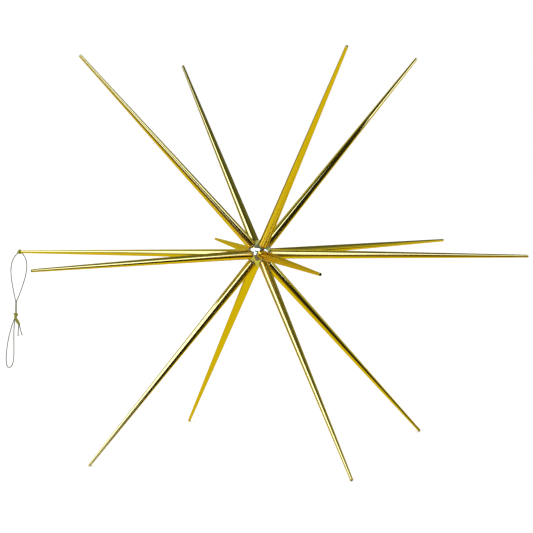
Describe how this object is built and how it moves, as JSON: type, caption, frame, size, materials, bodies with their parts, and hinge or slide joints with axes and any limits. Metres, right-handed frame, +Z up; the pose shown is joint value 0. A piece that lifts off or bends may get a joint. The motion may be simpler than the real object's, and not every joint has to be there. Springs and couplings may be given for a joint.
{
  "type": "starburst hanging ornament",
  "caption": "Starburst ornament: hollow tapered spikes radiate from a small split ball, stand on the falling spikes, and carry a cord hanger knotted round one tip.",
  "frame": {"origin": "centre of the ball where all the spikes' axes meet; the whole object's centroid lies within 1.5 mm of it, drawn off only by the cord", "axes": "+Z up when it stands on its four falling spikes; +X along the right level spike, so the cord hangs from the -X tip; -Y is the front; the level spikes are the longest extent and the height is the shortest"},
  "size_m": [0.4133, 0.3472, 0.2918],
  "materials": {
    "spike_gold": "mirror gold, vacuum-metallised and lacquered",
    "stud_gold": "mirror gold, vacuum-metallised and lacquered",
    "ball_gold": "mirror gold, slightly paler",
    "rivet_brass": "polished",
    "cord": "twisted metallic thread, olive gold"
  },
  "bodies": {
    "star": {"hub_upper": "ball_gold", "hub_lower": "ball_gold", "hub_rivet": "rivet_brass", "mid_right_spike": "spike_gold", "mid_back_right_spike": "spike_gold", "mid_back_left_spike": "spike_gold", "mid_left_spike": "spike_gold", "mid_front_left_spike": "spike_gold", "mid_front_right_spike": "spike_gold", "top_back_right_spike": "spike_gold", "top_back_left_spike": "spike_gold", "top_front_left_spike": "spike_gold", "top_front_right_spike": "spike_gold", "low_back_right_spike": "spike_gold", "low_back_left_spike": "spike_gold", "low_front_left_spike": "spike_gold", "low_front_right_spike": "spike_gold", "mid_right_stud": "stud_gold", "mid_back_right_stud": "stud_gold", "mid_back_left_stud": "stud_gold", "mid_left_stud": "stud_gold", "mid_front_left_stud": "stud_gold", "mid_front_right_stud": "stud_gold", "top_back_right_stud": "stud_gold", "top_back_left_stud": "stud_gold", "top_front_left_stud": "stud_gold", "top_front_right_stud": "stud_gold", "low_back_right_stud": "stud_gold", "low_back_left_stud": "stud_gold", "low_front_left_stud": "stud_gold", "low_front_right_stud": "stud_gold"},
    "tip_coil": {"hanger_tip_coil": "cord"},
    "upper_cord": {"hanger_upper_loop": "cord", "hanger_knot": "cord"},
    "lower_cord": {"hanger_lower_loop": "cord"}
  },
  "joints": [
    {"name": "tip_coil_turn", "type": "hinge", "parent": "star", "child": "tip_coil", "pos_m": [-0.19852, 0, 0], "axis": [1, 0, 0], "continuous": true},
    {"name": "upper_cord_swing", "type": "hinge", "parent": "tip_coil", "child": "upper_cord", "pos_m": [-0.19852, 0, 0], "axis": [0, 1, 0], "range_deg": [-8, 150]},
    {"name": "lower_cord_swing", "type": "hinge", "parent": "upper_cord", "child": "lower_cord", "pos_m": [-0.2032, 0, -0.0495], "axis": [0, 1, 0], "range_deg": [-60, 60]}
  ]
}
